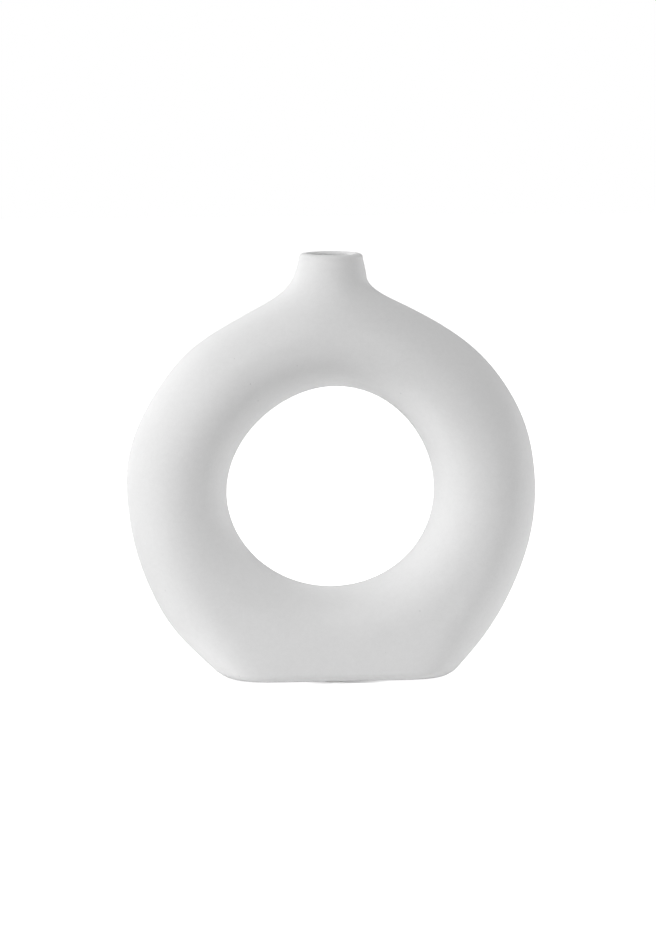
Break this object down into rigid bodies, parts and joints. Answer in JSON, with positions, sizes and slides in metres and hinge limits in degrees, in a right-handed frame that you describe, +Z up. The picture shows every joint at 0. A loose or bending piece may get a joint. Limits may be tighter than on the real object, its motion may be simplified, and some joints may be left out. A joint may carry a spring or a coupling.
{
  "type": "donut vase",
  "caption": "Flattened ring-shaped hollow vase in matte white bisque, with a round hole through it, a short round neck for a few stems and a flat foot on thin pads.",
  "frame": {"origin": "on the table under the middle of the vase, at the underside of its pads and on the neck's axis", "axes": "+Z up along the neck's axis, +X across the ring to the right of the front view, -Y towards the front"},
  "size_m": [0.2023, 0.0602, 0.21],
  "materials": {
    "bisque": "matte unglazed, fine sandy grain",
    "pads": "matte pale foam"
  },
  "bodies": {
    "root": {"front_shell": "bisque", "back_shell": "bisque", "neck": "bisque", "base": "bisque", "pad_left": "pads", "pad_right": "pads", "pad_front": "pads", "pad_back": "pads"}
  },
  "joints": []
}
